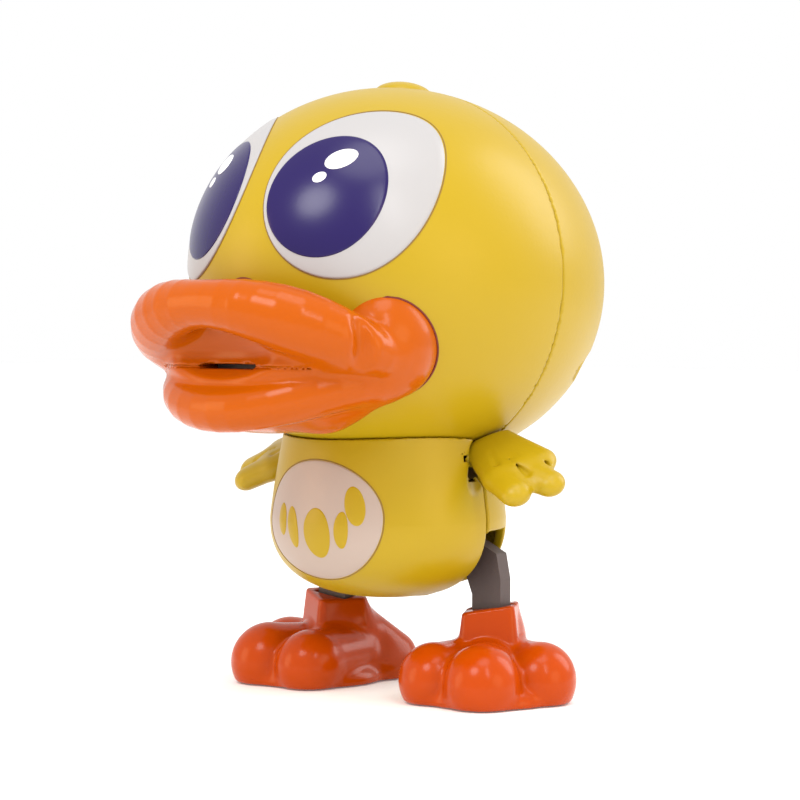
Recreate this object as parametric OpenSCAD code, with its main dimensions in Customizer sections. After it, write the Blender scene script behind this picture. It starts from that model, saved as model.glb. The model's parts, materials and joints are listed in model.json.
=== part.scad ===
// Wind-up hopping duckling. Millimetres, +Z up, beak towards -Y, the duckling's left side at +X.
// Heights are drawn from a level 4.7 mm below the soles. place() then brings the soles to the floor and the
// middle of the toy's box over the origin.

/* [Head] */
// Height of the middle of the head
head_z = 104.3; // [104:0.1:106]
// Half of the head's width, and of its height
head_r = 45.2; // [44:0.1:45.4]
// How far the face reaches in front of the middle of the head
head_front = 56.5; // [55:0.5:58]
// How far the back of the head reaches behind its middle
head_back = 56.5; // [55:0.5:58]
// How far the chin is tipped up, in degrees
head_tilt = 6; // [5:0.5:7]

/* [Body] */
// Largest radius of the body
body_r = 28.2; // [28:0.1:28.8]
// Height of the body's lowest point
body_bottom = 28; // [27.8:0.1:28.2]
// Wall of every moulded shell
wall = 2; // [1.8:0.1:2.1]

/* [Legs and feet] */
// How far each crank pin sits from its shaft
crank_throw = 3; // [2.5:0.25:3]
// Distance of each ankle from the middle of the toy
ankle_x = 24; // [23.5:0.1:24.5]
// How far each foot turns out, in degrees
foot_splay = 30; // [26:1:32]
// Height of the toes
toe_h = 15; // [14:0.5:16]

/* [Wings] */
// Distance from the wing's pin to its tip
wing_len = 29; // [27:0.5:30]
// How far the wing droops below level, in degrees
wing_droop = 20; // [18:1:22]
// How far the wing's back edge is lifted, in degrees
wing_pitch = 34; // [30:1:38]

/* [Hidden] */
$fn = 64;
BIG = 400;
STEPS = 18;                       // points on a quarter of a profile
FIT = 0.05;                       // radial running clearance of every shaft
GAP = 0.35;                       // shut line between two mouldings

head_y = 5;                       // middle of the head, behind the body's axis
head_seam = 9;                    // head's shut line
body_mid = 47;                    // height of the body's widest ring
body_top = 68;                    // top of the body before the head cuts it
body_top_r = 24.8;
body_seam = 2.5;                  // body's shut line

tooth_m = 0.8;                    // module of the crank gears
great_m = 0.6;                    // module of the great gear
great_teeth = 24;
pinion_teeth = 8;
drive_teeth = 16;
crank_teeth = 12;
drive_z = 38.5;
arbor_z = drive_z + great_m * (great_teeth + pinion_teeth) / 2;
crank_dist = tooth_m * (drive_teeth + crank_teeth) / 2;
crank_z = 42.5;
crank_x = sqrt(crank_dist * crank_dist - (crank_z - drive_z) * (crank_z - drive_z));
crank_dir = asin((crank_z - drive_z) / crank_dist);
pin_z = crank_z + crank_throw;    // the pins stand on top of their turn
link_at = [7, 52.6];              // post of the link that keeps each leg upright

plate_w = 33;                     // movement plates
plate_lo = 33.5;
plate_hi = 55;
plate_t = 1.5;
front_plate_y = -9.5;
rear_plate_y = 2.5;
crank_disc_y = 4.7;
leg_y = 7.5;                      // front face of the legs
leg_t = 4;
ankle_y = leg_y + leg_t / 2;
shaft_r = 1.25;
arbor_r = 1.6;
pin_r = 1.5;
sole_z = 4.7;                     // height of the soles
leg_end = sole_z + 3.6;           // lower end of each leg, inside its foot
ankle_pin_z = sole_z + 8;
collar_h = 21.6;                  // rim of the ankle's collar above the sole
rim_slope = 9;                    // how far the rim rises outwards, in degrees
wing_pin = [22.8, 2, 61.8];       // middle of the left wing's pin
screw_r = 1.2;
key_y = 29.4;                     // front end of the key's stem

// ---- helpers ----

// A shaft or disc along Y: from y0, going back by len, at (x, z).
module rod(x, y0, z, r, len)
    translate([x, y0 + len, z]) rotate([90, 0, 0]) cylinder(r = r, h = len);

// A flat outline drawn in X and Z, as thick as len, with its front face at y0.
module slab(y0, len)
    translate([0, y0 + len, 0]) rotate([90, 0, 0]) linear_extrude(len) children();

module both_sides(side)
    if (side > 0) children(); else mirror([1, 0, 0]) children();

// Outline of a quarter of an ellipse, from its tip to its equator.
function quarter(len, r, n = STEPS) = [for (i = [0:n]) [r * sin(90 * i / n), len * cos(90 * i / n)]];

// Solid of revolution about Y with the head's outline grown by g, in the head's own frame.
module head_solid(g = 0) {
    front = quarter(head_front + g, head_r + g);
    back = quarter(head_back + g, head_r + g);
    outline = concat([for (p = front) [p[0], -p[1]]], [for (i = [STEPS - 1:-1:0]) back[i]]);
    rotate([-90, 0, 0]) rotate_extrude($fn = 96) polygon(outline);
}

module head_frame() translate([0, head_y, head_z]) rotate([-head_tilt, 0, 0]) children();

// Radius of the body at height z.
function body_radius(z) = z < body_mid
    ? body_r * pow(1 - pow((body_mid - z) / (body_mid - body_bottom), 2.4), 1 / 2.4)
    : body_r - (body_r - body_top_r) * pow((z - body_mid) / (body_top - body_mid), 1.2);

body_heights = concat([for (i = [0:STEPS]) body_mid - (body_mid - body_bottom) * cos(90 * i / STEPS)],
    [for (i = [1:8]) body_mid + (body_top - body_mid) * i / 8]);

// Solid of revolution with the body's outline pulled in by t.
module body_solid(t = 0)
    rotate_extrude($fn = 96) polygon(concat(
        [for (z = body_heights) [max(body_radius(z) - t, 0), z + t * max(body_mid - z, 0) / (body_mid - body_bottom)]],
        [[0, body_top]]));

// Everything in front of (side < 0) or behind (side > 0) the plane at y.
module half(y, side)
    translate([-BIG / 2, side > 0 ? y : y - BIG, -BIG / 2]) cube(BIG);

// ---- gears ----

function involute(base, a) = [base * (cos(a) + a * PI / 180 * sin(a)), base * (sin(a) - a * PI / 180 * cos(a))];
function turn(p, a) = [p[0] * cos(a) - p[1] * sin(a), p[0] * sin(a) + p[1] * cos(a)];
function roll(base, r) = sqrt(max(pow(r / base, 2) - 1, 0)) * 180 / PI;
function involute_angle(base, r) = let (a = roll(base, r)) a - atan(a * PI / 180);

// Outline of one involute gear, with a tooth centred on angle 0 and flanks thinned by play.
function gear_points(m, n, play = 0.16) =
    let (pitch = m * n / 2, base = pitch * cos(20), root = pitch - 1.2 * m, tip = pitch + 0.85 * m,
         half_tooth = 90 / n - play / pitch * 180 / PI / 2 + involute_angle(base, pitch),
         low = max(root, base), flank = [for (i = [0:4]) low + (tip - low) * i / 4])
    [for (k = [0:n - 1]) each concat(
        [turn([root, 0], 360 * k / n - half_tooth * 1.02)],
        [for (r = flank) turn([r, 0], 360 * k / n - half_tooth + involute_angle(base, r))],
        [for (i = [4:-1:0]) turn([flank[i], 0], 360 * k / n + half_tooth - involute_angle(base, flank[i]))],
        [turn([root, 0], 360 * k / n + half_tooth * 1.02)])];

// Angle of gear 2 (n2 teeth, in direction dir from gear 1) that meshes with gear 1 at angle a1.
function mesh_angle(n1, a1, n2, dir) = dir + 180 + 180 / n2 - (a1 - dir) * n1 / n2;

module gear(x, y0, z, m, n, angle, thick, bore)
    difference() {
        translate([x, 0, z]) slab(y0, thick) rotate(angle) polygon(gear_points(m, n));
        rod(x, y0 - 1, z, bore, thick + 2);
    }

drive_angle = 0;
pinion_angle = 0;
great_angle = mesh_angle(pinion_teeth, pinion_angle, great_teeth, 90);
crank_angle_left = mesh_angle(drive_teeth, drive_angle, crank_teeth, crank_dir);
crank_angle_right = mesh_angle(drive_teeth, drive_angle, crank_teeth, 180 - crank_dir);

// ---- body ----

head_bosses = [[27, 25], [-27, 25], [31, -18], [-31, -18], [19, -32], [-19, -32]];
neck_posts = [[8, -18], [-8, -18], [8, 18], [-8, 18]];
body_boss = [[19.5, 52.5], [-19.5, 52.5]];
movement_boss = [[14.4, 46.5], [-14.4, 46.5]];
shelf_z = 53;

function oval(rx, ry, n = 60) = [for (i = [0:n - 1]) [rx * cos(360 * i / n), ry * sin(360 * i / n)]];

module belly_outline(g = 0) translate([0, 47.8]) polygon(oval(17 + g, 14 + g));

// Five raised pads that show through the belly plate: [x, z, half width, half height, lean].
belly_pads = [[-10.2, 47.6, 1.7, 3.9, 2], [-6, 46, 1.9, 5, 9], [1.6, 45, 3.8, 5.9, 6],
    [8.1, 45.9, 1.8, 4.4, -2], [11, 51.5, 2.3, 4.7, 14]];

module pad_outlines(g = 0)
    for (p = belly_pads) translate([p[0], p[1]]) rotate(p[4]) polygon(oval(p[2] + g, p[3] + g, 24));

module leg_slot()
    for (s = [-1, 1]) both_sides(s) translate([10, 3, 10]) cube([28, 10.9, 34.6]);

module wing_slot()
    for (s = [-1, 1]) both_sides(s) {
        translate([20.3, -5.2, 53.5]) cube([20, 14.4, 30]);
        rod(wing_pin[0], -8, wing_pin[2], 1, 18.2);
    }

// Shelf across the body that the head is screwed down to.
module neck_shelf(y0, y1)
    intersection() {
        translate([-12, y0, shelf_z]) cube([24, y1 - y0, 2]);
        body_solid(wall / 2);
    }

module neck_holes()
    for (n = neck_posts) translate([n[0], n[1], shelf_z - 2]) cylinder(r = screw_r, h = 11);

module belly_recess() intersection() {
    slab(-BIG / 2, BIG / 2 - 5) belly_outline(0.25);
    difference() {
        body_solid(-1);
        body_solid(0.9);
    }
}

module body_front_shell() color("gold") {
    difference() {
        union() {
            difference() {
                body_solid();
                body_solid(wall);
                belly_recess();
            }
            neck_shelf(-27, -12.5);
            intersection() {
                body_solid(wall / 2);
                union() {
                    for (b = body_boss) rod(b[0], -22, b[1], 2.8, 26);
                    for (b = movement_boss) rod(b[0], -27, b[1], 2, 27 + front_plate_y);
                }
            }
        }
        half(body_seam, 1);
        head_frame() head_solid(GAP);
        wing_slot();
        neck_holes();
        for (b = body_boss) rod(b[0], -6, b[1], screw_r, 20);
        for (b = movement_boss) rod(b[0], -18, b[1], screw_r, 12);
    }
    intersection() {
        difference() {
            body_solid(-0.05);
            body_solid(1.2);
        }
        slab(-BIG / 2, BIG / 2 - 5) pad_outlines();
    }
}

module belly_plate() color("white") difference() {
    intersection() {
        difference() {
            body_solid(-0.15);
            body_solid(0.9);
        }
        slab(-BIG / 2, BIG / 2 - 5) belly_outline();
    }
    slab(-BIG / 2, BIG / 2) pad_outlines(0.2);
}

module body_rear_shell() color("gold") difference() {
    union() {
        difference() {
            body_solid();
            body_solid(wall);
        }
        neck_shelf(13.5, 27);
        intersection() {
            body_solid(wall / 2);
            union() {
                for (b = body_boss) rod(b[0], 0, b[1], 2.8, 30);
                rod(0, 18, arbor_z, 4.2, 20);
            }
        }
    }
    half(body_seam + 0.12, -1);
    head_frame() head_solid(GAP);
    leg_slot();
    wing_slot();
    neck_holes();
    rod(0, 10, arbor_z, arbor_r + 0.4, 30);
    for (b = body_boss) {
        rod(b[0], 0, b[1], screw_r, 30);
        rod(b[0], 13, b[1], 2.6, 20);
    }
}

// ---- head ----

tuft_y = -3.5;                    // tuft, from the middle of the head
beak_pegs = [[14, 92], [-14, 92], [10, 76], [-10, 76]];

// A screw post that stands along the head's axis from y0 for len.
module head_posts(y0, len, r)
    head_frame() intersection() {
        head_solid(-wall / 2);
        for (b = head_bosses) rod(b[0], y0, b[1], r, len);
    }

// Webs that tie the front posts to the wall.
module head_ribs() head_frame() intersection() {
    head_solid(-wall / 2);
    for (b = head_bosses) translate([b[0], -7.5, b[1]]) rotate([0, -atan2(b[1], b[0]), 0])
        translate([2, 0, -1]) cube([9, 14, 2]);
}

module head_wall() head_frame() difference() {
    head_solid();
    head_solid(-wall);
}

// Posts under the head that stand on the body's shelf.
module neck_feet() difference() {
    for (n = neck_posts) translate([n[0], n[1], shelf_z + 2]) cylinder(r = 3.4, h = 14);
    head_frame() head_solid(-wall);
}

module head_front_shell() color("gold") difference() {
    union() {
        head_wall();
        head_posts(-26, 50, 4);
        head_ribs();
        neck_feet();
    }
    half(head_seam, 1);
    neck_holes();
    for (s = [-1, 1]) eye_cut(s) eye_outline(0.2);
    for (b = beak_pegs) rod(b[0], -60, b[1], 3, 30);
    head_frame() {
        for (b = head_bosses) rod(b[0], -10, b[1], screw_r, 60);
        translate([0, tuft_y, head_r - 6]) cylinder(r = 4, h = 8);
    }
}

module head_rear_shell() color("gold") difference() {
    union() {
        head_wall();
        head_posts(0, 60, 4.6);
        neck_feet();
    }
    half(head_seam + 0.12, -1);
    neck_holes();
    head_frame() for (b = head_bosses) {
        rod(b[0], 0, b[1], screw_r, 60);
        rod(b[0], 14, b[1], 3.5, 60);
    }
    head_frame() translate([0, tuft_y, head_r - 6]) cylinder(r = 4, h = 8);
}

module head_tuft() color("gold") head_frame() translate([0, tuft_y, 0]) union() {
    translate([0, 0, head_r - 5]) cylinder(r = 4, h = 5.5);
    difference() {
        translate([0, 0, head_r - 11.2]) sphere(r = 13, $fn = 72);
        translate([0, -tuft_y, 0]) head_solid();
    }
}

// ---- eyes ----

eye_at = [19, 122.65];           // middle of the left eye, seen from the front
eye_size = [15.2, 19.7];
eye_lean = 20;                    // tops of the eyes lean together
iris_at = [16.4, 121.9];
iris_size = [11.5, 14.1];
glints = [[17.7, 130.2, 2.8, 2.3], [15.35, 126.05, 1.35, 1.2]];

// Cuts along Y through the front of the head, on one side.
module eye_cut(s) both_sides(s) slab(-BIG / 2, BIG / 2 - 8) children();

module eye_outline(g = 0) translate(eye_at) rotate(eye_lean) polygon(oval(eye_size[0] + g, eye_size[1] + g));

module iris_outline(g = 0) translate(iris_at) rotate(eye_lean)
    polygon(oval(iris_size[0] + g, iris_size[1] + g));

module glint_outlines(g = 0)
    for (q = glints) translate([q[0], q[1]]) polygon(oval(q[2] + g, q[3] + g, 24));

module eye_white(s) color("white") difference() {
    intersection() {
        eye_cut(s) eye_outline();
        head_frame() difference() {
            head_solid(0.4);
            head_solid(-1.8);
        }
    }
    difference() {
        eye_cut(s) difference() {
            iris_outline(0.1);
            glint_outlines();
        }
        head_frame() head_solid(-0.6);
    }
}

module eye_iris(s) color("midnightblue") intersection() {
    eye_cut(s) difference() {
        iris_outline();
        glint_outlines(0.1);
    }
    head_frame() difference() {
        head_solid(0.7);
        head_solid(-0.6);
    }
}

// ---- beak ----

lip_split = 84;                   // height of the mouth line
mouth_w = 8;                      // half of the mouth slot's width

module blob(p, r) translate(p) sphere(r = r, $fn = 32);

module beak_upper() color("darkorange") difference() {
    union() {
        difference() {
            union() {
                hull() {
                    blob([0, -61.5, 93.5], 9);
                    for (s = [-1, 1]) blob([s * 15, -57, 92], 8.4);
                    for (s = [-1, 1]) blob([s * 24, -49, 89], 7.6);
                    for (s = [-1, 1]) blob([s * 28, -38, 87], 8);
                    blob([0, -38, 97.5], 8);
                }
                for (s = [-1, 1]) hull() {
                    blob([s * 25, -34, 87], 12);
                    blob([s * 28, -27, 86], 8.5);
                }
            }
            translate([-BIG / 2, -BIG / 2, lip_split - BIG]) cube([BIG, BIG, BIG]);
        }
        for (i = [0, 1]) rod(beak_pegs[i][0], -58, beak_pegs[i][1], 3, 20);
    }
    difference() {
        head_frame() head_solid();
        for (i = [0, 1]) rod(beak_pegs[i][0], -70, beak_pegs[i][1], 3, 40);
    }
    translate([-mouth_w, -80, lip_split - 2]) cube([2 * mouth_w, 34, 3.6]);
}

module beak_lower() color("darkorange") difference() {
    union() {
        difference() {
            hull() {
                for (s = [-1, 1]) blob([s * 5, -57.5, 74], 7);
                for (s = [-1, 1]) blob([s * 15, -52, 75.5], 7.2);
                for (s = [-1, 1]) blob([s * 22, -38, 78], 9);
                for (s = [-1, 1]) blob([s * 10, -34, 76], 9);
            }
            translate([-BIG / 2, -BIG / 2, lip_split - 0.2]) cube([BIG, BIG, BIG]);
        }
        for (i = [2, 3]) rod(beak_pegs[i][0], -52, beak_pegs[i][1], 3, 18);
    }
    difference() {
        head_frame() head_solid();
        for (i = [2, 3]) rod(beak_pegs[i][0], -70, beak_pegs[i][1], 3, 40);
    }
    translate([-mouth_w, -80, lip_split - 1.8]) cube([2 * mouth_w, 34, 5]);
}

module squeaker_reed() color("dimgray")
    translate([-mouth_w, -51, lip_split - 1.2]) cube([2 * mouth_w, 4.8, 2]);

// ---- screws ----

module screw(x, y_tip, z, y_head, head_radius)
    union() {
        rod(x, y_tip, z, screw_r, y_head - y_tip + 0.1);
        difference() {
            rod(x, y_head, z, head_radius, 1.4);
            translate([x - 1.4, y_head + 0.8, z - 0.3]) cube([2.8, 2, 0.6]);
            translate([x - 0.3, y_head + 0.8, z - 1.4]) cube([0.6, 2, 2.8]);
        }
    }

module head_screws() color("silver") head_frame()
    for (b = head_bosses) screw(b[0], -8, b[1], 14, 2.3);

module neck_screws() color("silver")
    for (n = neck_posts) translate([n[0], n[1], shelf_z - 1.4]) {
        cylinder(r = 2.2, h = 1.4);
        cylinder(r = screw_r, h = 9.5);
    }

module body_screws() color("silver")
    for (b = body_boss) screw(b[0], -5, b[1], 13, 2.2);

module movement_screws() color("silver")
    for (b = movement_boss) {
        rod(b[0], front_plate_y + plate_t, b[1], 2.2, 1.4);
        rod(b[0], -17, b[1], screw_r, 17 + front_plate_y + plate_t);
    }

// ---- clockwork ----

pillars = [[14.6, 35.2], [-14.6, 35.2], [14.6, 53.2], [-14.6, 53.2]];

module plate(y0) color("gainsboro") difference() {
    union() {
        slab(y0, plate_t) polygon([[-plate_w / 2, plate_lo], [plate_w / 2, plate_lo],
            [plate_w / 2, plate_hi], [-plate_w / 2, plate_hi]]);
    }
    rod(0, y0 - 1, arbor_z, arbor_r + FIT, plate_t + 2);
    rod(0, y0 - 1, drive_z, shaft_r + FIT, plate_t + 2);
    for (s = [-1, 1]) rod(s * crank_x, y0 - 1, crank_z, shaft_r + FIT, plate_t + 2);
    for (s = [-1, 1]) rod(s * link_at[0], rear_plate_y, link_at[1], shaft_r, plate_t + 2);
    for (b = movement_boss) rod(b[0], y0 - 1, b[1], screw_r, plate_t + 2);
}

module plate_pillars() color("silver")
    for (p = pillars) rod(p[0], front_plate_y + plate_t, p[1], 1.6, rear_plate_y - front_plate_y - plate_t);

// Flat spiral: a strip that winds out from the arbor to its post.
spring_in = arbor_r + 0.05;
spring_turns = 4.5;
spring_out = 7.2;
spring_strip = 0.35;
spring_y = -7.6;

function reversed(list) = [for (i = [len(list) - 1:-1:0]) list[i]];
function spiral(r0, r1, turns, n) = [for (i = [0:n])
    let (a = 360 * turns * i / n, r = r0 + (r1 - r0) * i / n) [r * cos(a), r * sin(a)]];

module mainspring() color("silver") translate([0, 0, arbor_z]) slab(spring_y, 3.2)
    polygon(concat(spiral(spring_in, spring_out, spring_turns, 108), reversed(
        spiral(spring_in + spring_strip, spring_out + spring_strip, spring_turns, 108))));

module spring_post() color("silver")
    rod(-spring_out - spring_strip - 1.15, front_plate_y + plate_t, arbor_z, 1.1, 3.2);

module rivet_rod() translate([-4, key_y + 3, arbor_z]) rotate([0, 90, 0]) cylinder(r = 0.7, h = 8);

module winding_arbor() color("silver") difference() {
    rod(0, front_plate_y - 1, arbor_z, arbor_r, key_y + 5 - front_plate_y + 1);
    rivet_rod();
}

module great_gear() color("goldenrod")
    gear(0, -3.6, arbor_z, great_m, great_teeth, great_angle, 1.6, arbor_r);

module ratchet_wheel() color("goldenrod") translate([0, 0, arbor_z]) difference() {
    slab(-1.9, 0.9) polygon([for (k = [0:9]) each [turn([4.4, 0], 36 * k), turn([3.2, 0], 36 * k + 2)]]);
    rod(0, -3, 0, arbor_r, 4);
}

module click_pawl() color("silver") translate([0, 0, arbor_z])
    slab(-1.95, 0.8) polygon([[4.75, -1.2], [5.6, -1.4], [6.3, 2.6], [5.4, 2.7]]);

module key_outline() union() {
    for (s = [-1, 1]) translate([s * 6.8, 0]) polygon(oval(5.8, 5.4, 36));
    square([6, 4.6], center = true);
}

// The key's grips stand in a plane through its stem.
module winding_key() color("silver") difference() {
    union() {
        rod(0, key_y, arbor_z, 2.8, 7);
        translate([0, key_y + 9, arbor_z]) rotate([0, 90, 0]) translate([0, 0, -1.1]) linear_extrude(2.2)
            difference() {
                key_outline();
                for (s = [-1, 1]) translate([s * 7.4, 0]) polygon(oval(2.8, 2.5, 24));
            }
    }
    rod(0, 20, arbor_z, arbor_r, key_y - 15);
    rivet_rod();
}

module key_rivet() color("silver") rivet_rod();

module drive_shaft() color("silver")
    rod(0, front_plate_y - 0.8, drive_z, shaft_r, rear_plate_y + plate_t + 0.7 - front_plate_y + 0.8);

module drive_pinion() color("goldenrod")
    gear(0, -4.2, drive_z, great_m, pinion_teeth, pinion_angle, 2.8, shaft_r);

module drive_gear() color("goldenrod")
    gear(0, -0.6, drive_z, tooth_m, drive_teeth, drive_angle, 2, shaft_r);

module crankshaft(s) color("silver")
    rod(s * crank_x, front_plate_y - 0.8, crank_z, shaft_r, crank_disc_y + 1.6 - front_plate_y + 0.8);

module crank_gear(s, angle) color("goldenrod")
    gear(s * crank_x, -0.6, crank_z, tooth_m, crank_teeth, angle, 2, shaft_r);

module crank(s) color("dimgray") difference() {
    union() {
        rod(s * crank_x, crank_disc_y, crank_z, 5, 2);
        rod(s * crank_x, crank_disc_y, pin_z, pin_r, leg_y + leg_t + 0.4 - crank_disc_y);
    }
    rod(s * crank_x, crank_disc_y - 1, crank_z, shaft_r, 2.6);
    rod(s * crank_x, crank_disc_y + 1, pin_z, 0.7, 20);
}

module leg_cap(s) color("silver") union() {
    rod(s * crank_x, leg_y + leg_t + 0.4, pin_z, 2.7, 1);
    rod(s * crank_x, crank_disc_y + 2.4, pin_z, 0.7, leg_y + leg_t - crank_disc_y - 1.9);
}

module link_posts() color("silver")
    for (s = [-1, 1]) rod(s * link_at[0], rear_plate_y, link_at[1], shaft_r, crank_disc_y + 2.3 - rear_plate_y);

module swing_link(s) color("dimgray") difference() {
    union() {
        rod(s * link_at[0], crank_disc_y, link_at[1], 4.9, 2);
        rod(s * link_at[0], crank_disc_y, link_at[1] + crank_throw, pin_r, leg_y + leg_t + 0.4 - crank_disc_y);
    }
    rod(s * link_at[0], crank_disc_y - 1, link_at[1], shaft_r + FIT, 4);
    rod(s * link_at[0], crank_disc_y + 1, link_at[1] + crank_throw, 0.7, 20);
}

module link_cap(s) color("silver") union() {
    rod(s * link_at[0], leg_y + leg_t + 0.4, link_at[1] + crank_throw, 2.5, 1);
    rod(s * link_at[0], crank_disc_y + 2.4, link_at[1] + crank_throw, 0.7, leg_y + leg_t - crank_disc_y - 1.9);
}

// ---- legs and feet ----

shin_w = 8.4;

module leg(s) color("dimgray") both_sides(s) difference() {
    union() {
        rod(crank_x, leg_y, pin_z, 4, leg_t);
        rod(link_at[0], leg_y, link_at[1] + crank_throw, 2.8, leg_t);
        slab(leg_y, leg_t) polygon([[crank_x - 3.6, pin_z + 1], [link_at[0] - 2.5, link_at[1] + 2.2],
            [link_at[0] + 2.5, link_at[1] + 4], [crank_x + 3.6, pin_z + 1.5]]);
        slab(leg_y, leg_t) polygon([[crank_x + 1.5, pin_z + 3.7], [crank_x + 9, 42.6], [ankle_x + 3, 39],
            [ankle_x + shin_w / 2, 33], [ankle_x + shin_w / 2, leg_end], [ankle_x - shin_w / 2, leg_end],
            [ankle_x - shin_w / 2, 29], [ankle_x - 6, 33.6], [crank_x + 3.4, 36.6],
            [crank_x - 3.2, pin_z - 2.4]]);
    }
    rod(crank_x, leg_y - 1, pin_z, pin_r + FIT, leg_t + 2);
    rod(link_at[0], leg_y - 1, link_at[1] + crank_throw, pin_r + FIT, leg_t + 2);
    rod(ankle_x, leg_y - 1, ankle_pin_z, 1.2, leg_t + 2);
}

// Toes of the left foot, in the foot's own frame: [outwards, back, radius].
toes = [[0, -18.2, 8.4], [-12.2, -11.5, 7.7], [12.6, -8.6, 7.9]];

// One foot, about its ankle, with its toes towards -Y.
module foot_shape() {
    hull() for (x = [-1, 1], y = [-1, 1]) {
        translate([x * 5, y * 4.8, 2]) cylinder(r = 4.1, h = 6, $fn = 32);
        translate([x * 4.6, y * 4.4, collar_h]) cylinder(r = 3.4, h = 3, $fn = 32);
    }
    hull() {
        blob([0, 3, 13], 6.5);
        blob([0, 14.6, 5], 6.6);
        blob([0, -4, 6], 8);
    }
    for (t = toes) hull() {
        blob([t[0], t[1], toe_h - 0.2 - t[2]], t[2]);
        translate([t[0], t[1], 0.4]) cylinder(r = t[2] - 0.7, h = 3, $fn = 32);
        blob([t[0] * 0.45, 3, 6.2], 6.3);
    }
}

module at_ankle(s) both_sides(s) translate([ankle_x, ankle_y, sole_z]) rotate([0, 0, foot_splay]) children();

module foot(s) color("orangered") difference() {
    at_ankle(s) difference() {
        foot_shape();
        translate([-40, -40, -40]) cube([80, 80, 41.2]);
        translate([0, 0, collar_h]) rotate([0, -rim_slope, 0]) translate([-40, -40, 0]) cube([80, 80, 40]);
    }
    both_sides(s) {
        translate([ankle_x - shin_w / 2, leg_y, leg_end - 0.1]) cube([shin_w, leg_t, 30]);
        translate([ankle_x - shin_w / 2 - 0.6, leg_y - 1.2, sole_z + collar_h - 6]) cube([shin_w + 1.2, leg_t + 2.4, 30]);
        rod(ankle_x, leg_y - 7, ankle_pin_z, 1.2, 18);
    }
}

module sole_outline() {
    for (t = toes) translate([t[0], t[1]]) circle(r = t[2] - 1.6);
    translate([0, 13.6]) circle(r = 4.8);
    polygon([[-4.8, 13.6], [-12, -8], [0, -14], [12, -6], [4.8, 13.6]]);
}

module sole(s) color("orangered") at_ankle(s) linear_extrude(1.2) sole_outline();

module ankle_pin(s) color("silver") both_sides(s) rod(ankle_x, leg_y - 3, ankle_pin_z, 1.2, leg_t + 6);

// ---- wings ----

module wing(s) color("gold") both_sides(s) difference() {
    translate(wing_pin) union() {
        rod(0, -5, 0, 2.2, 10);
        rotate([0, wing_droop, 0]) {
            hull() {
                blob([1.5, -2.4, 0.4], 1.9);
                blob([1.5, 2.4, 0.4], 1.9);
                translate([8, 0, 2]) rotate([wing_pitch, 0, 0]) {
                    blob([0, -3.6, 0], 2.05);
                    blob([0, 4.1, 0], 2.05);
                }
            }
            translate([7, 0, 2]) rotate([wing_pitch, 0, 0]) {
                hull() {
                    blob([0.2, -4, 0], 2.2);
                    blob([0, 2, 0.1], 2.25);
                    blob([13, -7.6, 0.1], 2.8);
                    blob([13.3, -1, 0], 2.6);
                }
                hull() {
                    blob([0.4, 0.3, 0.2], 2.15);
                    blob([-0.3, 4.6, 0.15], 2.3);
                    blob([wing_len - 9.6, 0.2, 0.1], 2.65);
                    blob([wing_len - 10.4, 5.4, 0.2], 2.5);
                    blob([11, 8.1, 0.1], 2.2);
                }
            }
        }
    }
    translate([0, wing_pin[1], 0]) rod(wing_pin[0], -8, wing_pin[2], 1 + FIT, 20);
}

module wing_pin_part(s) color("silver") both_sides(s) rod(wing_pin[0], -8, wing_pin[2], 1, 18.2);

// ---- the parts ----

middle_y = 4.535;                // puts the middle of the toy's box over the origin

module place() translate([0, middle_y, -sole_z]) children();

place() body_front_shell();
place() body_rear_shell();
place() belly_plate();
place() head_front_shell();
place() head_rear_shell();
place() head_tuft();
place() eye_white(1);  // eye_white_left
place() eye_white(-1);  // eye_white_right
place() eye_iris(1);  // eye_iris_left
place() eye_iris(-1);  // eye_iris_right
place() beak_upper();
place() beak_lower();
place() squeaker_reed();
place() head_screws();
place() neck_screws();
place() body_screws();
place() plate(front_plate_y);  // movement_front_plate
place() plate(rear_plate_y);  // movement_rear_plate
place() plate_pillars();
place() movement_screws();
place() mainspring();
place() spring_post();
place() winding_arbor();
place() great_gear();
place() ratchet_wheel();
place() click_pawl();
place() winding_key();
place() key_rivet();
place() drive_shaft();
place() drive_pinion();
place() drive_gear();
place() crankshaft(1);  // crankshaft_left
place() crank_gear(1, crank_angle_left);  // crank_gear_left
place() crank(1);  // crank_left
place() leg_cap(1);  // leg_cap_left
place() crankshaft(-1);  // crankshaft_right
place() crank_gear(-1, crank_angle_right);  // crank_gear_right
place() crank(-1);  // crank_right
place() leg_cap(-1);  // leg_cap_right
place() link_posts();
place() swing_link(1);  // swing_link_left
place() link_cap(1);  // link_cap_left
place() swing_link(-1);  // swing_link_right
place() link_cap(-1);  // link_cap_right
place() leg(1);  // leg_left
place() foot(1);  // foot_left
place() sole(1);  // sole_left
place() ankle_pin(1);  // ankle_pin_left
place() leg(-1);  // leg_right
place() foot(-1);  // foot_right
place() sole(-1);  // sole_right
place() ankle_pin(-1);  // ankle_pin_right
place() wing(1);  // wing_left
place() wing_pin_part(1);  // wing_pin_left
place() wing(-1);  // wing_right
place() wing_pin_part(-1);  // wing_pin_right
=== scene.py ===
"""Looks of the wind-up hopping duckling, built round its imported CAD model.

Shapes are written in the CAD source's own millimetres, before its last shift, and put() brings them to the
frame's metres. The duckling's beak points to -Y and its left side is +X.
"""

import json
import math

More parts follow.
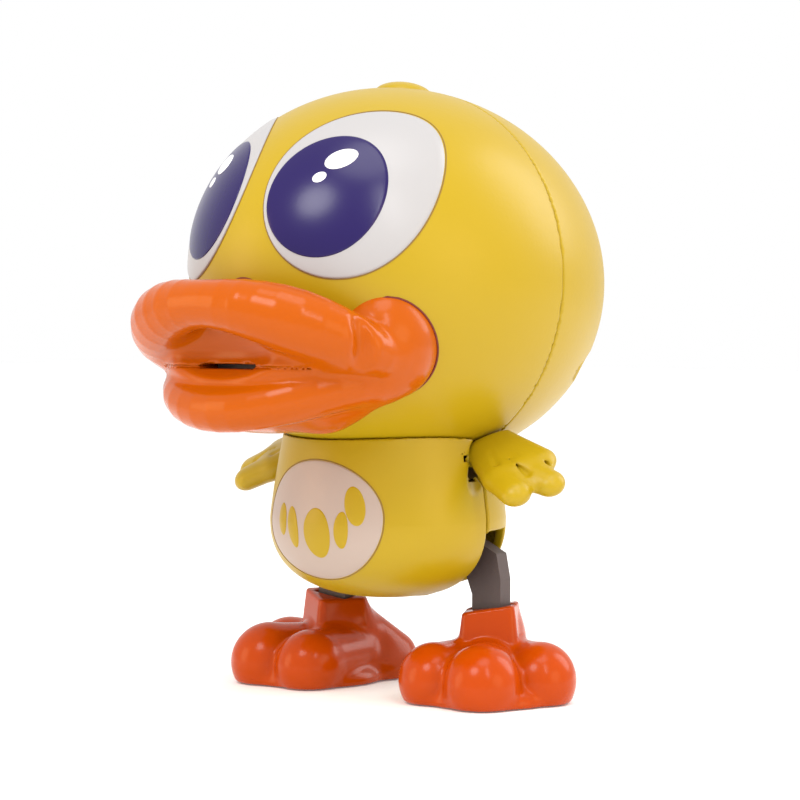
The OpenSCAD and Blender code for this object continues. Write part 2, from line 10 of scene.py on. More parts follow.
import bpy
import numpy as np
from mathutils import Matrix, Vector


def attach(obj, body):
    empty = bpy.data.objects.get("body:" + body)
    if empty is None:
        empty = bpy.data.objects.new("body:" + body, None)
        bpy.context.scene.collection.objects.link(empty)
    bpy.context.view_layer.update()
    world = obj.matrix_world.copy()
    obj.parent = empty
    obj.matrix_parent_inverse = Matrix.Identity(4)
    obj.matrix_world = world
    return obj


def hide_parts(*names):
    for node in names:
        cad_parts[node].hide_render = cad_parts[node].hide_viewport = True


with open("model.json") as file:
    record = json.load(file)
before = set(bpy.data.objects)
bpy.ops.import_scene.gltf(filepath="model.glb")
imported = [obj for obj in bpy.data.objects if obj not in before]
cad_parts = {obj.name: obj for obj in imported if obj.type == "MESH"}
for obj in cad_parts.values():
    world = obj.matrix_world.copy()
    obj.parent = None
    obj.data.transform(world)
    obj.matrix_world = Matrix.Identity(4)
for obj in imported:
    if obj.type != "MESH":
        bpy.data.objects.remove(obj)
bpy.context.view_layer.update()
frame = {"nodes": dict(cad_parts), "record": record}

# ---- the object's main measures, as in the CAD model ----

MM = 0.001
MIDDLE_Y = 4.535  # the CAD source's last shift along Y
SOLE_Z = 4.7  # height of the soles' undersides in the numbers below

HEAD_AT = np.array([0.0, 5.0, 104.3])
HEAD_R = 45.2
HEAD_LONG = 56.5
HEAD_TILT = math.radians(6)
HEAD_SEAM = 9.0
BODY_R = 28.2
BODY_BOTTOM = 28.0
BODY_MID = 47.0
BODY_TOP = 68.0
BODY_TOP_R = 24.8
BODY_SEAM = 2.5
BODY_WALL = 2
BODY_POWER = 2.4  # how square the body's bottom is: 2 would be an ellipsoid
ANKLE = (24.0, 9.5)
SPLAY = math.radians(30)
WING_PIN = (22.8, 2.0, 61.8)
EYE = (19.0, 122.65, 15.2, 19.7)
IRIS = (16.4, 121.9, 11.5, 14.1)
EYE_LEAN = math.radians(20)
BELLY = (0.0, 47.8, 17.0, 14.0)
LIP_SPLIT = 84.0
SLOT_HALF = 8.2
HEAD_POSTS = [(27, 25), (-27, 25), (31, -18), (-31, -18), (19, -32), (-19, -32)]
POST_BORE = 3.5
POST_SEAT = 15.5
BODY_SCREW = (19.5, 52.5)
BODY_SCREW_BORE = 2.6
BODY_SCREW_SEAT = 14
KEY_BORE = (48.1, 2.2)

COS_T, SIN_T = math.cos(HEAD_TILT), math.sin(HEAD_TILT)
HEAD_TURN = np.array([[1, 0, 0], [0, COS_T, SIN_T], [0, -SIN_T, COS_T]])

# ---- how finely things are drawn ----

SHARP_ANGLE = math.radians(35)
NORMAL_STEP = 0.12
SETTLE_ROUNDS = 4

# ---- materials ----


def plastic(name, colour, roughness, coat=0.0, grain=0.02, grain_size=900, mottle=0.03, metal=0.0,
            specular=0.5):
    """Moulded plastic: a base colour that varies a little, fine grain in its relief and uneven gloss."""
    m = bpy.data.materials.new(name)
    m.use_nodes = True
    nodes, links = m.node_tree.nodes, m.node_tree.links
    shader = nodes["Principled BSDF"]
    shader.inputs["Metallic"].default_value = metal
    shader.inputs["Coat Weight"].default_value = coat
    shader.inputs["Coat Roughness"].default_value = 0.06
    shader.inputs["Specular IOR Level"].default_value = specular
    place = nodes.new("ShaderNodeTexCoord")

    def noise(scale, detail):
        n = nodes.new("ShaderNodeTexNoise")
        n.inputs["Scale"].default_value = scale
        n.inputs["Detail"].default_value = detail
        links.new(place.outputs["Object"], n.inputs["Vector"])
        return n.outputs["Fac"]

    cloud = noise(14, 3)
    ramp = nodes.new("ShaderNodeValToRGB")
    for stop, shade in zip(ramp.color_ramp.elements, (1 - mottle, 1 + mottle)):
        stop.color = (*(min(c * shade, 1) for c in colour), 1)
    links.new(cloud, ramp.inputs["Fac"])
    links.new(ramp.outputs["Color"], shader.inputs["Base Color"])
    gloss = nodes.new("ShaderNodeMapRange")
    gloss.inputs["To Min"].default_value = roughness * 0.88
    gloss.inputs["To Max"].default_value = roughness * 1.14
    links.new(noise(60, 4), gloss.inputs["Value"])
    links.new(gloss.outputs["Result"], shader.inputs["Roughness"])
    relief = nodes.new("ShaderNodeBump")
    relief.inputs["Strength"].default_value = grain
    relief.inputs["Distance"].default_value = 0.0004
    links.new(noise(grain_size, 2), relief.inputs["Height"])
    links.new(relief.outputs["Normal"], shader.inputs["Normal"])
    return m


YELLOW = plastic("yellow_shell", (0.385, 0.262, 0.003), 0.36, grain=0.06, specular=0.3)
WHITE = plastic("belly_white", (0.405, 0.33, 0.285), 0.38, grain=0.04, specular=0.25)
EYE_WHITE = plastic("eye_white", (0.375, 0.37, 0.375), 0.3, specular=0.25)
PURPLE = plastic("eye_purple", (0.011, 0.004, 0.074), 0.24, mottle=0.06, specular=0.3)
GLINT = plastic("glint_white", (0.86, 0.86, 0.88), 0.15, coat=0.6)
BEAK = plastic("beak_orange", (0.415, 0.077, 0.0005), 0.2, specular=0.17)
FOOT = plastic("foot_orange", (0.41, 0.048, 0.0003), 0.2, specular=0.17)
GREY = plastic("grey_plastic", (0.082, 0.062, 0.06), 0.5, grain=0.15, specular=0.3)
DARK = plastic("dark_plastic", (0.055, 0.055, 0.06), 0.45, grain=0.1)
SHADOW = plastic("joint_shadow", (0.14, 0.012, 0.004), 0.6)
BRASS = plastic("brass", (0.62, 0.42, 0.16), 0.3, metal=1.0, grain=0.1, grain_size=1500)
STEEL = plastic("steel", (0.62, 0.62, 0.62), 0.28, metal=1.0, grain=0.12, grain_size=1500)
# painted shade: the colour of the cords that stand for the shadow in the shut lines round the eyes and the
# belly
SEAM_SHADE = plastic("seam_shadow", (0.20, 0.11, 0.012), 0.6)

BY_SLOT = {"yellow_shell": YELLOW, "belly_white": WHITE, "eye_white": EYE_WHITE, "eye_purple": PURPLE,
           "beak_orange": BEAK, "foot_orange": FOOT, "grey_plastic": GREY, "dark_plastic": DARK,
           "brass": BRASS, "steel": STEEL}

for entry in frame["record"]["subparts"]:
    mesh = frame["nodes"][entry["node"]].data
    mesh.materials.clear()
    mesh.materials.append(BY_SLOT[entry["material_slot"]])

# ---- meshes ----


def put(name, points, faces, material, body, stands_for=(), normals=None):
    """Adds one piece from points in millimetres, riding on a body."""
    points = (np.asarray(points, float) + [0, MIDDLE_Y, -SOLE_Z]) * MM
    mesh = bpy.data.meshes.new(name)
    mesh.from_pydata(points.tolist(), [], [list(f) for f in faces])
    mesh.validate()
    mesh.materials.append(material)
    mesh.shade_smooth()
    if normals is None:
        mesh.set_sharp_from_angle(angle=SHARP_ANGLE)
    else:
        mesh.normals_split_custom_set_from_vertices(normals.tolist())
    obj = bpy.data.objects.new(name, mesh)
    bpy.context.collection.objects.link(obj)
    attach(obj, body)
    if stands_for:
        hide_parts(*stands_for)
    return obj


def gradient(f, p, step=0.02):
    """Slope of f at each of the points p."""
    g = np.empty_like(p)
    for k in range(3):
        d = np.zeros(3)
        d[k] = step
        g[:, k] = f(p + d) - f(p - d)
    return g / (2 * step)


def surface(f, low, high, size):
    """Closed quad mesh of the surface f = 0: one vertex in each crossed cell, drawn on to the surface."""
    axes = [np.arange(a, b + size, size) for a, b in zip(low, high)]
    grid = np.stack(np.meshgrid(*axes, indexing="ij"), -1)
    value = f(grid.reshape(-1, 3)).reshape(grid.shape[:3])
    cells = tuple(n - 1 for n in value.shape)
    total, count = np.zeros(cells + (3,)), np.zeros(cells)
    corners = [np.array(c) for c in np.ndindex(2, 2, 2)]

    def at(c, a):
        return a[c[0]:c[0] + cells[0], c[1]:c[1] + cells[1], c[2]:c[2] + cells[2]]

    for c in corners:
        for k in range(3):
            if c[k]:
                continue
            d = c.copy()
            d[k] = 1
            a, b = at(c, value), at(d, value)
            crossed = (a < 0) != (b < 0)
            t = np.where(crossed, a / np.where(crossed, a - b, 1), 0)[..., None]
            total += np.where(crossed[..., None], c + t * (d - c), 0)
            count += crossed
    used = count > 0
    index = np.full(cells, -1)
    index[used] = np.arange(used.sum())
    where = np.argwhere(used)
    points = np.array([a[0] for a in axes]) + (where + total[used] / count[used][:, None]) * size
    faces = []
    for k in range(3):
        i, j = (k + 1) % 3, (k + 2) % 3
        first = [slice(1, -1)] * 3
        second = [slice(1, -1)] * 3
        first[k], second[k] = slice(0, -1), slice(1, None)
        a, b = value[tuple(first)], value[tuple(second)]
        offset = np.ones(3, int)
        offset[k] = 0
        for sign in (True, False):
            spots = np.argwhere(((a < 0) != (b < 0)) & ((a < 0) == sign)) + offset
            ring = []
            for di, dj in ((-1, -1), (0, -1), (0, 0), (-1, 0)):
                s = spots.copy()
                s[:, i] += di
                s[:, j] += dj
                ring.append(index[s[:, 0], s[:, 1], s[:, 2]])
            quad = np.stack(ring if sign else ring[::-1], 1)
            faces.append(quad[(quad >= 0).all(1)])
    for _ in range(SETTLE_ROUNDS):
        g = gradient(f, points)
        move = -f(points)[:, None] * g / np.maximum((g * g).sum(1), 0.05)[:, None]
        far = np.maximum(np.linalg.norm(move, axis=1) / (0.6 * size), 1)[:, None]
        points = points + move / far
    g = gradient(f, points, NORMAL_STEP)
    normals = g / np.maximum(np.linalg.norm(g, axis=1), 1e-9)[:, None]
    return points, np.concatenate(faces), normals


def solid(name, f, low, high, size, material, body, stands_for=()):
    """Adds the solid where f is negative, drawn between the corners low and high in cells of this size."""
    points, faces, normals = surface(f, low, high, size)
    return put(name, points, faces, material, body, stands_for, normals)


# ---- distance functions: negative inside ----


def join(a, b, soft):
    """Union with a fillet of about soft."""
    h = np.clip(0.5 + 0.5 * (b - a) / soft, 0, 1)
    return b * (1 - h) + a * h - soft * h * (1 - h)


def cut(a, b, soft):
    """a without b, its new edges rounded by about soft."""
    return -join(-a, b, soft)


def both(a, b, soft):
    """The part inside both a and b."""
    return -join(-a, -b, soft)


def egg(p, at, radii):
    """Ellipsoid."""
    q = p - at
    k0 = np.linalg.norm(q / radii, axis=1)
    k1 = np.linalg.norm(q / np.square(radii), axis=1)
    return k0 * (k0 - 1) / np.maximum(k1, 1e-9)


def limb(p, a, b, ra, rb):
    """Capsule whose radius runs from ra at a to rb at b."""
    a, b = np.asarray(a, float), np.asarray(b, float)
    d = b - a
    t = np.clip((p - a) @ d / (d @ d), 0, 1)
    return np.linalg.norm(p - a - t[:, None] * d, axis=1) - (ra + t * (rb - ra))


def box(p, low, high, edge=0.0):
    """Box between two corners, its edges rounded."""
    low, high = np.asarray(low, float), np.asarray(high, float)
    q = np.abs(p - (low + high) / 2) - (high - low) / 2 + edge
    return np.linalg.norm(np.maximum(q, 0), axis=1) + np.minimum(q.max(1), 0) - edge


def tube(p, points, radii, soft=0.0):
    """Limbs end to end along the points, with a fillet of soft between them."""
    d = np.full(len(p), 1e9)
    for a, b, ra, rb in zip(points, points[1:], radii, radii[1:]):
        one = limb(p, a, b, ra, rb)
        d = join(d, one, soft) if soft else np.minimum(d, one)
    return d


def mirrored(p):
    """Folds the right side on to the left."""
    q = p.copy()
    q[:, 0] = np.abs(q[:, 0])
    return q


def head(p, grow=0.0):
    """The egg of the head, longest along its own Y, with its surface moved out by grow."""
    return egg((p - HEAD_AT) @ HEAD_TURN, np.zeros(3),
               np.array([HEAD_R + grow, HEAD_LONG + grow, HEAD_R + grow]))


def head_front_y(x, z, grow=0.0):
    """y of the front of the head's surface at (x, z)."""
    radii = np.array([HEAD_R + grow, HEAD_LONG + grow, HEAD_R + grow])
    d = HEAD_TURN[1] / radii
    o = (np.stack([x, np.zeros_like(x), z], -1) - HEAD_AT) @ HEAD_TURN / radii
    a, b = d @ d, o @ d
    c = (o * o).sum(-1) - 1
    return (-b - np.sqrt(np.maximum(b * b - a * c, 0))) / a


def body_radius(z):
    """Radius of the body's surface at height z."""
    low = np.clip((BODY_MID - z) / (BODY_MID - BODY_BOTTOM), 0, 1)
    high = np.clip((z - BODY_MID) / (BODY_TOP - BODY_MID), 0, 1.2)
    return np.where(z < BODY_MID, BODY_R * np.maximum(1 - low ** BODY_POWER, 1e-6) ** (1 / BODY_POWER),
                    BODY_R - (BODY_R - BODY_TOP_R) * high ** 1.2)


def body(p, grow=0.0):
    """Superellipsoid below the widest ring, and a slow taper above it."""
    r = np.linalg.norm(p[:, :2], axis=1)
    low = np.maximum(BODY_MID - p[:, 2], 0)
    a, c = BODY_R + grow, BODY_MID - BODY_BOTTOM + grow
    k = ((r / a) ** BODY_POWER + (low / c) ** BODY_POWER) ** (1 / BODY_POWER)
    below = (k - 1) * np.minimum(a, c)
    above = r - body_radius(p[:, 2]) - grow
    return np.where(p[:, 2] < BODY_MID, below, above)


def body_front_y(x, z, grow=0.0):
    """y of the front of the body's surface at (x, z)."""
    r = body_radius(z) + grow
    return -np.sqrt(np.maximum(r * r - x * x, 0))


# ---- plates that lie on a curved face, drawn on polar rings ----


def oval_plate(outline, front_y, face, rim, depth, rings=22, around=120, dome=0.0):
    """Points and faces of an oval plate whose face stands by face above front_y, with a rounded rim.

    outline is (x, z, half width, half height, lean)."""
    cx, cz, hw, hh, lean = outline
    levels = [(s, face + dome * (1 - s * s)) for s in np.linspace(0, 1, rings)[1:]]
    shrink = 1 - rim / min(hw, hh)
    levels = [(s * shrink, g) for s, g in levels]
    for turn in np.linspace(0, math.pi / 2, 6)[1:]:
        levels.append((shrink + (1 - shrink) * math.sin(turn), face - rim * (1 - math.cos(turn))))
    levels.append((1.0, -depth))
    angle = np.linspace(0, 2 * math.pi, around, endpoint=False)
    points = [[cx, float(front_y(np.array([cx]), np.array([cz]), face + dome)[0]), cz]]
    for s, g in levels:
        u, v = s * hw * np.cos(angle), s * hh * np.sin(angle)
        x = cx + u * math.cos(lean) - v * math.sin(lean)
        z = cz + u * math.sin(lean) + v * math.cos(lean)
        points.extend(np.stack([x, front_y(x, z, g), z], 1).tolist())
    faces = [(0, 1 + i, 1 + (i + 1) % around) for i in range(around)]
    for k in range(len(levels) - 1):
        a, b = 1 + k * around, 1 + (k + 1) * around
        for i in range(around):
            j = (i + 1) % around
            faces.append((a + i, b + i, b + j, a + j))
    last = 1 + (len(levels) - 1) * around
    faces.append(tuple(last + i for i in range(around))[::-1])
    return np.array(points), faces


def plate(name, outline, front_y, face, rim, depth, material, stands_for=(), dome=0.0):
    """Adds an oval plate that rides on the torso."""
    points, faces = oval_plate(outline, front_y, face, rim, depth, dome=dome)
    return put(name, points, faces, material, "torso", stands_for)


def leaning(outline, side):
    """An eye's outline on that side, leaning towards the middle at its top."""
    x, z, half_width, half_height = outline
    return (side * x, z, half_width, half_height, side * EYE_LEAN)


# ---- beak ----


def lip_path():
    """Middle of the upper lip's roll, and its radius: fullest half way round each side."""
    angle = np.radians(np.arange(-92, 93, 8))
    s, c = np.sin(angle), np.maximum(np.cos(angle), 0)
    points = np.stack([29.2 * s, -37 - 26.5 * np.cos(angle), 86.3 + 11.6 * c ** 1.3], 1)
    return points, 5.3 + 2.0 * np.abs(np.sin(2 * angle)) ** 1.5


def low_lip_path():
    """Middle of the lower lip's roll, rising to the corners of the mouth, and its radius."""
    angle = np.radians(np.arange(-90, 91, 10))
    s, c = np.sin(angle), np.cos(angle)
    return np.stack([25.5 * s, -33 - 25.5 * c, 74.4 + 6.5 * s * s], 1), 5.1 + 0.2 * s * s


LIP, LIP_R = lip_path()
LOW_LIP, LOW_LIP_R = low_lip_path()


def bill(q):
    """The bill behind the lips: a broad upper half and a flatter lower half, hollowed at the mouth."""
    ridge = limb(q, (0, -42, 96.5), (0, -57, 97.5), 9.0, 5.0)
    d = join(ridge, limb(q, (11, -42, 92.5), (12, -54, 94), 9.5, 6), 5)
    d = join(d, limb(q, (20, -34, 88), (23, -47, 89), 9, 6), 5)
    d = join(d, egg(q, (0, -42, 84), (27, 19, 11)), 4)
    jaw = join(egg(q, (0, -42, 75.6), (22, 19, 7.0)), limb(q, (14, -39, 77.3), (22, -36, 82), 7.9, 8.2), 4)
    d = join(d, jaw, 2.5)
    return cut(d, egg(q, (0, -68, 87.0), (23, 13.2, 7.4)), 2.0)


def beak(p):
    """The bill, its rolled lips and cheeks, and the mouth's parting line with the squeaker's slot."""
    q = mirrored(p)
    d = join(bill(q), tube(p, LIP, LIP_R), 2.6)
    d = join(d, tube(p, LOW_LIP, LOW_LIP_R), 1.3)
    cheek = egg(q, (25.4, -31, 89.2), (10.3, 12.8, 12.9))
    d = join(d, cheek, 1.4)
    crease = limb(q, (32.2, -48.5, 93), (33.0, -48.0, 82), 1.4, 2.0)
    d = cut(d, crease, 3.0)
    parting = box(p, (-22, -80, LIP_SPLIT - 0.25), (22, -45, LIP_SPLIT + 0.05), 0.1)
    d = cut(d, parting, 0.5)
    slot = box(p, (-SLOT_HALF, -58, LIP_SPLIT - 0.5), (SLOT_HALF, -44, LIP_SPLIT + 0.5), 0.2)
    return cut(d, slot, 0.4)


def beak_on_face(p):
    """The beak, open behind where the head's shell fills it."""
    return cut(beak(p), head(p, -0.8), 0.3)


solid("beak", beak_on_face, (-41, -74, 62), (41, -14, 110), 0.7, BEAK, "torso",
      ("beak_upper", "beak_lower"))

# ---- head ----


def bore(q, x, z, radius, seat):
    """Round hole along Y, closed in front at seat."""
    return np.maximum(np.hypot(q[:, 0] - x, q[:, 2] - z) - radius, seat - q[:, 1])


def head_front(p):
    return both(head(p), p[:, 1] - HEAD_SEAM, 0.4)


def head_rear(p):
    """The head behind its seam, with a pocket over each screw."""
    d = both(head(p), HEAD_SEAM + 0.1 - p[:, 1], 0.4)
    q = (p - HEAD_AT) @ HEAD_TURN
    for x, z in HEAD_POSTS:
        d = cut(d, bore(q, x, z, POST_BORE, POST_SEAT), 0.6)
    return d


solid("head_front", head_front, (-46.5, -53, 58), (46.5, 9.9, 151), 0.8, YELLOW, "torso",
      ("head_front_shell",))
solid("head_back", head_rear, (-46.5, 8.3, 58), (46.5, 63, 151), 0.8, YELLOW, "torso",
      ("head_rear_shell",))


def tuft(p):
    """The low button on the crown, with a smaller one blended into it."""
    q = (p - HEAD_AT) @ HEAD_TURN
    button = egg(q, (0, -3.5, HEAD_R - 1.5), (6.8, 7.6, 3.2))
    tip = egg(q, (-1.8, -1.2, HEAD_R - 0.7), (3.6, 3.8, 2.3))
    return cut(join(button, tip, 1.2), head(p, -0.3), 0.2)


solid("tuft", tuft, (-9, -8, 144), (9, 18, 153), 0.35, YELLOW, "torso", ("head_tuft",))

# ---- shut lines: dark cords of painted shade ----


def shade_cord(name, path, radius, material, sides=6):
    """A thin closed cord along a path, coloured as painted shade that stands for the shadow in the shut
    line between two mouldings.
    """
    path = np.asarray(path, float)
    along = np.roll(path, -1, 0) - np.roll(path, 1, 0)
    along /= np.linalg.norm(along, axis=1)[:, None]
    side = np.cross(along, [0.0, 1.0, 0.0])
    side /= np.linalg.norm(side, axis=1)[:, None]
    other = np.cross(along, side)
    turns = np.linspace(0, 2 * math.pi, sides, endpoint=False)
    points = np.concatenate([path + radius * (math.cos(t) * side + math.sin(t) * other) for t in turns])
    n = len(path)
    faces = []
    for k in range(sides):
        for i in range(n):
            a, b = k * n, (k + 1) % sides * n
            faces.append((a + i, a + (i + 1) % n, b + (i + 1) % n, b + i))
    return put(name, points, faces, material, "torso")


def oval_on(outline, front_y, grow, count=180):
    """Points round an oval widened by grow, on the face that front_y gives."""
    cx, cz, hw, hh, lean = outline
    angle = np.linspace(0, 2 * math.pi, count, endpoint=False)
    u, v = (hw + grow) * np.cos(angle), (hh + grow) * np.sin(angle)
    x = cx + u * math.cos(lean) - v * math.sin(lean)
    z = cz + u * math.sin(lean) + v * math.cos(lean)
    return np.stack([x, front_y(x, z), z], 1)


def beak_line(count=240):
    """Where the beak's surface meets the head's, going round from the middle of the beak."""
    angle = np.linspace(0, 2 * math.pi, count, endpoint=False)
    low, high = np.zeros(count), np.full(count, 44.0)
    for _ in range(40):
        middle = (low + high) / 2
        x, z = middle * np.cos(angle), 88 + middle * np.sin(angle)
        inside = beak(np.stack([x, head_front_y(x, z), z], 1)) < 0
        low, high = np.where(inside, middle, low), np.where(inside, high, middle)
    x, z = (low + 0.1) * np.cos(angle), 88 + (low + 0.1) * np.sin(angle)
    return np.stack([x, head_front_y(x, z), z], 1)


# painted shade: a dark cord round the beak stands for the shadow in the gap where it meets the head
shade_cord("beak_seam_shade", beak_line(), 0.28, SHADOW)

# ---- eyes ----

GLINTS = [(17.7, 130.2, 2.8, 2.3, 0.3), (15.35, 126.05, 1.35, 1.2, 0.3)]
FAR_GLINT_SHIFT = 2 * IRIS[0] + 1.5  # how far towards -X the right eye's glints lie from the left's


def eye(side, word):
    """A white oval let into the face, its iris and the two glints on it."""
    white, iris = leaning(EYE, side), leaning(IRIS, side)
    plate("eye_ball_" + word, white, head_front_y, 0.4, 0.45, 1.1, EYE_WHITE,
          ("eye_white_" + word,))
    # painted shade: a dark cord round the eye white stands for the shadow in its gap
    shade_cord("eye_seam_shade_" + word, oval_on(white, head_front_y, 0.12), 0.16, SEAM_SHADE)
    plate("eye_disc_" + word, iris, head_front_y, 0.62, 0.3, 0.2, PURPLE,
          ("eye_iris_" + word,), dome=0.25)
    for number, (x, *rest) in enumerate(GLINTS):
        outline = (x if side > 0 else x - FAR_GLINT_SHIFT, *rest)
        plate(f"glint_{word}_{number}", outline, head_front_y, 0.93, 0.12, -0.5, GLINT)


eye(1, "left")
eye(-1, "right")

# ---- wings ----

BLADE_UP = np.array([0.261, -0.491, 0.829])
FLAP = math.radians(24)
LIFT = math.radians(3)
WING_GROOVES = [((36, 0.4, 61.6), (42, -0.8, 59.2)), ((37, 5.2, 63.4), (43, 5.4, 60.8)),
                ((31, -0.4, 64.2), (34.5, -2.8, 61.2))]


def wing_at_rest(p):
    """The left wing: a knuckle on its pin, and a broad flat blade that ends in blunt feathers."""
    q = p - np.array(WING_PIN)
    flat = p + 0.35 * ((p - np.array([26.0, 0.0, 62.0])) @ BLADE_UP)[:, None] * BLADE_UP
    front = tube(flat, [(26.5, 2.8, 62.5), (35, -1.6, 57.6), (41, -4.3, 54.8)], (3.8, 4.2, 3.8), 1)
    middle = tube(flat, [(27, 5.2, 64.0), (38, 2.4, 59.2), (45.6, 2.8, 56.6)], (4.2, 4.4, 3.7), 1)
    back = tube(flat, [(28, 8, 65.4), (40, 7.4, 61.4)], (3.6, 3.6), 1)
    d = join(join(front, middle, 2.5), back, 3.5) / 1.15
    for a, b in WING_GROOVES:
        d = cut(d, limb(p, a, b, 0.2, 0.5), 1.2)
    knuckle = np.maximum(np.hypot(q[:, 0], q[:, 2]) - 2.2, np.abs(q[:, 1]) - 5)
    d = join(d, knuckle, 0.8)
    return cut(d, np.hypot(q[:, 0], q[:, 2]) - 1.1, 0.1)


def swung(p, angle):
    """Where p lies in the wing's own frame once the wing has folded down by angle."""
    c, s = math.cos(angle), math.sin(angle)
    return (p - np.array(WING_PIN)) @ np.array([[c, 0, s], [0, 1, 0], [-s, 0, c]]) + np.array(WING_PIN)


def wing(p):
    """Kept clear of the head where it rests, and where it lifts by its three degrees."""
    d = cut(wing_at_rest(p), head(p, 0.5), 0.3)
    return cut(d, head(swung(p, LIFT), 0.3), 0.3)


def flipped(f):
    """The same shape on the right side."""
    def right(p):
        return f(p * np.array([-1.0, 1, 1]))
    return right


solid("feathers_left", wing, (19, -13, 46), (54, 13, 71), 0.45, YELLOW, "wing_left_set",
      ("wing_left",))
solid("feathers_right", flipped(wing), (-54, -13, 46), (-19, 13, 71), 0.45, YELLOW, "wing_right_set",
      ("wing_right",))

# ---- body ----

PADS = [(-10.2, 47.6, 1.7, 3.9, 0.04), (-6, 46, 1.9, 5, 0.16), (1.6, 45, 3.8, 5.9, 0.1),
        (8.1, 45.9, 1.8, 4.4, -0.04), (11, 51.5, 2.3, 4.7, 0.24)]
REAR_PROUD = 0.3  # the rear shell stands out by this, so its edge shows


def wing_room(p):
    """Room in the body for both wings, from where they rest to where they fold down."""
    q = mirrored(p)
    near = (q[:, 0] > 17) & (q[:, 2] > 48)
    d = np.full(len(q), 9.0)
    r = q[near]
    d[near] = np.min([wing_at_rest(swung(r, a)) for a in np.linspace(-0.06, FLAP, 5)], axis=0) - 0.45
    return d


def body_shell(p, grow=0.0):
    """The body's wall, cut away under the head and round the wings."""
    d = np.maximum(body(p, grow), -body(p, -BODY_WALL))
    d = cut(d, head(p, 0.35), 0.4)
    return cut(d, wing_room(p), 0.4)


def body_front(p):
    return both(body_shell(p), p[:, 1] - BODY_SEAM, 0.6)


def body_rear(p):
    """The body behind its seam, with slots for the legs, two screw pockets and the key's hole."""
    d = both(body_shell(p, REAR_PROUD), BODY_SEAM + 0.12 - p[:, 1], 0.6)
    leg_slot = box(mirrored(p), (10, 3, 10), (38, 13.9, 44.6), 0.8)
    d = cut(d, leg_slot, 0.7)
    x, z = BODY_SCREW
    for side in (1, -1):
        d = cut(d, bore(p, side * x, z, BODY_SCREW_BORE, BODY_SCREW_SEAT), 0.4)
    z, radius = KEY_BORE
    return cut(d, np.hypot(p[:, 0], p[:, 2] - z) - radius, 0.4)


solid("body_front", body_front, (-29, -29.2, 27), (29, 3.2, 70), 0.55, YELLOW, "torso",
      ("body_front_shell",))
solid("body_back", body_rear, (-29, 1.9, 27), (29, 29.2, 70), 0.55, YELLOW, "torso",
      ("body_rear_shell",))
# painted shade: a dark cord round the belly plate stands for the shadow in its gap
shade_cord("belly_seam_shade", oval_on((*BELLY, 0), body_front_y, 0.1), 0.15, SEAM_SHADE)
plate("belly", (*BELLY, 0), body_front_y, 0.15, 0.4, 0.9, WHITE, ("belly_plate",))
for number, pad in enumerate(PADS):
    plate(f"belly_pad_{number}", pad, body_front_y, 0.3, 0.3, 0.2, YELLOW, dome=0.15)

# ---- feet ----


TOES = [(0, -18.2, 8.4), (-12.2, -11.5, 7.7), (12.6, -8.6, 7.9)]


def foot(p):
    """The left foot: three toes, a long heel and a collar round the ankle whose rim rises outwards."""
    q = p - np.array([ANKLE[0], ANKLE[1], SOLE_Z])
    c, s = math.cos(SPLAY), math.sin(SPLAY)
    q = q @ np.array([[c, -s, 0], [s, c, 0], [0, 0, 1]])
    collar = box(q * np.array([1, 1, 0.0]), (-8.4, -8.6, -1), (8.4, 8.0, 1), 3.6)
    flare = 0.07 * (q[:, 2] - 12)
    collar = both(collar + flare, q[:, 2] - 21.6 - 0.16 * q[:, 0], 0.7)
    heel = join(limb(q, (0, 3, 13), (0, 14.5, 5.0), 7.0, 6.4), egg(q, (0, 7, 2.5), (10.5, 13, 8)), 3)
    d = join(collar, heel, 3.5)
    for x, y, r in TOES:
        toe = limb(q, (x * 0.35, 1, 6.5), (x, y + 1, 6.4), 7.5, r - 0.2)
        toe = join(toe, egg(q, (x, y, 5.2), (r + 0.5, r + 0.7, r + 0.9)), 1.2)
        d = join(d, toe, 1.6)
    web = both(egg(q, (0, -6, 1), (17, 17.5, 6.5)), -q[:, 2] - 1, 1)
    d = join(d, web, 1.5)
    d = both(d, 0.25 - q[:, 2], 0.8)
    shaft = box(p, (ANKLE[0] - 4.9, ANKLE[1] - 3.0, 17), (ANKLE[0] + 4.9, ANKLE[1] + 3.0, 40), 1.0)
    return cut(d, shaft, 0.8)


solid("toes_left", foot, (1, -22, 3), (51, 36, 32), 0.55, FOOT, "leg_left_set",
      ("foot_left", "sole_left"))
solid("toes_right", flipped(foot), (-51, -22, 3), (-1, 36, 32), 0.55, FOOT, "leg_right_set",
      ("foot_right", "sole_right"))

# ---- floor, light and camera ----


FLOOR_HALF = 3
LIGHT_DISTANCE = 0.9
LIGHT_AIM = Vector((0, 0, 0.08))
NEUTRAL = (1, 1, 1)
WARM = (1, 0.66, 0.36)
# name, azimuth and elevation in degrees, (width, height) in metres, watts, colour
LIGHTS = [("key", 8, 44, (0.36, 0.36), 3.4, NEUTRAL), ("top", 60, 75, (0.5, 0.5), 2.4, NEUTRAL),
          ("streak", 62, 40, (0.10, 0.5), 1.4, NEUTRAL), ("fill", 90, 12, (0.5, 0.5), 1.9, WARM),
          ("rim", 150, 30, (0.4, 0.7), 3, NEUTRAL), ("left", -40, 10, (0.4, 0.6), 2.4, WARM)]
CAMERA = (38.8, 2.0, 0.600)  # azimuth, elevation, distance
WIDTH_SEEN = 0.192
TARGET_Z = 0.0703
TARGET_RIGHT = 0.003


def away(azimuth, elevation):
    """Direction from the toy, azimuth measured from its front towards its left."""
    a, e = math.radians(azimuth), math.radians(elevation)
    return Vector((math.sin(a) * math.cos(e), -math.cos(a) * math.cos(e), math.sin(e)))


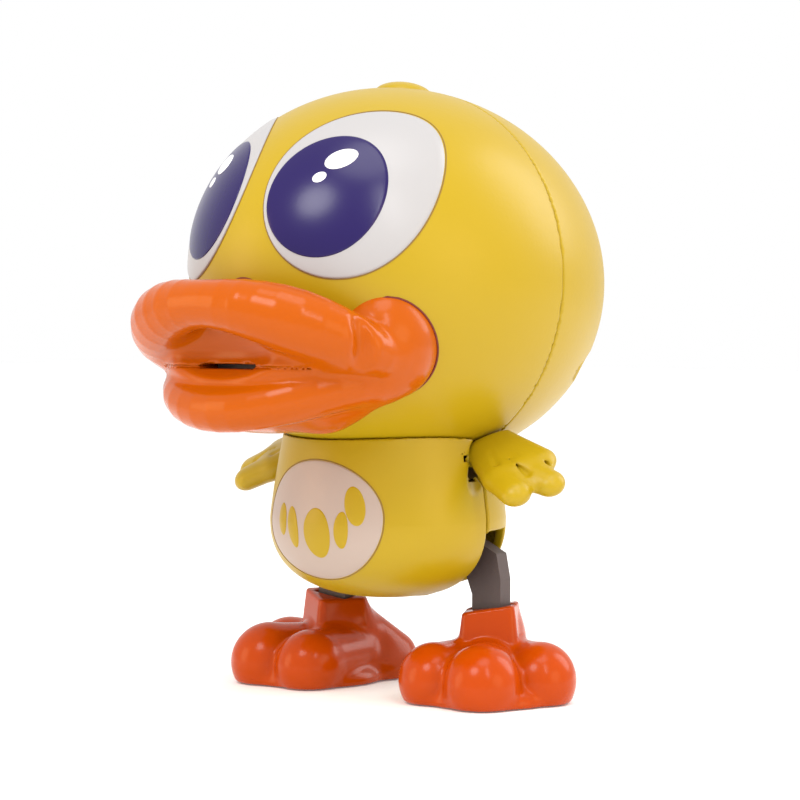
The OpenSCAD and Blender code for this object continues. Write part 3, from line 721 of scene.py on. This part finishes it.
def floor():
    """A white sheet that catches the shadow."""
    half = FLOOR_HALF
    mesh = bpy.data.meshes.new("floor")
    corners = [(-half, -half, 0), (half, -half, 0), (half, half, 0), (-half, half, 0)]
    mesh.from_pydata(corners, [], [(0, 1, 2, 3)])
    pale = bpy.data.materials.new("floor_white")
    pale.use_nodes = True
    shader = pale.node_tree.nodes["Principled BSDF"]
    shader.inputs["Base Color"].default_value = (0.92, 0.92, 0.92, 1)
    shader.inputs["Roughness"].default_value = 0.7
    shader.inputs["Emission Color"].default_value = (1, 1, 1, 1)
    shader.inputs["Emission Strength"].default_value = 0.1
    mesh.materials.append(pale)
    obj = bpy.data.objects.new("floor", mesh)
    bpy.context.collection.objects.link(obj)


def soft_box(name, azimuth, elevation, size, power, colour):
    """An area light that looks at the toy from that direction."""
    toward = away(azimuth, elevation)
    data = bpy.data.lights.new(name, "AREA")
    data.shape = "ELLIPSE"
    data.size, data.size_y = size
    data.energy = power
    data.color = colour
    lamp = bpy.data.objects.new(name, data)
    lamp.location = LIGHT_AIM + toward * LIGHT_DISTANCE
    lamp.rotation_euler = toward.to_track_quat("Z", "Y").to_euler()
    bpy.context.collection.objects.link(lamp)


def studio():
    """White surroundings."""
    world = bpy.data.worlds.new("studio")
    world.use_nodes = True
    world.node_tree.nodes["Background"].inputs["Color"].default_value = (1, 1, 1, 1)
    world.node_tree.nodes["Background"].inputs["Strength"].default_value = 1.0
    bpy.context.scene.world = world
    bpy.context.scene.view_settings.view_transform = "Standard"


def camera():
    """The view from the toy's front left, a little above its middle."""
    azimuth, elevation, distance = CAMERA
    back = away(azimuth, elevation)
    right = Vector((math.cos(math.radians(azimuth)), math.sin(math.radians(azimuth)), 0))
    data = bpy.data.cameras.new("camera")
    data.sensor_width = 36
    data.lens = data.sensor_width * distance / WIDTH_SEEN
    data.clip_start = 0.01
    obj = bpy.data.objects.new("camera", data)
    target = Vector((0, MIDDLE_Y * MM, TARGET_Z)) + right * TARGET_RIGHT
    obj.location = target + back * distance
    obj.rotation_euler = back.to_track_quat("Z", "Y").to_euler()
    bpy.context.collection.objects.link(obj)
    bpy.context.scene.camera = obj


floor()
for light in LIGHTS:
    soft_box(*light)
studio()
camera()
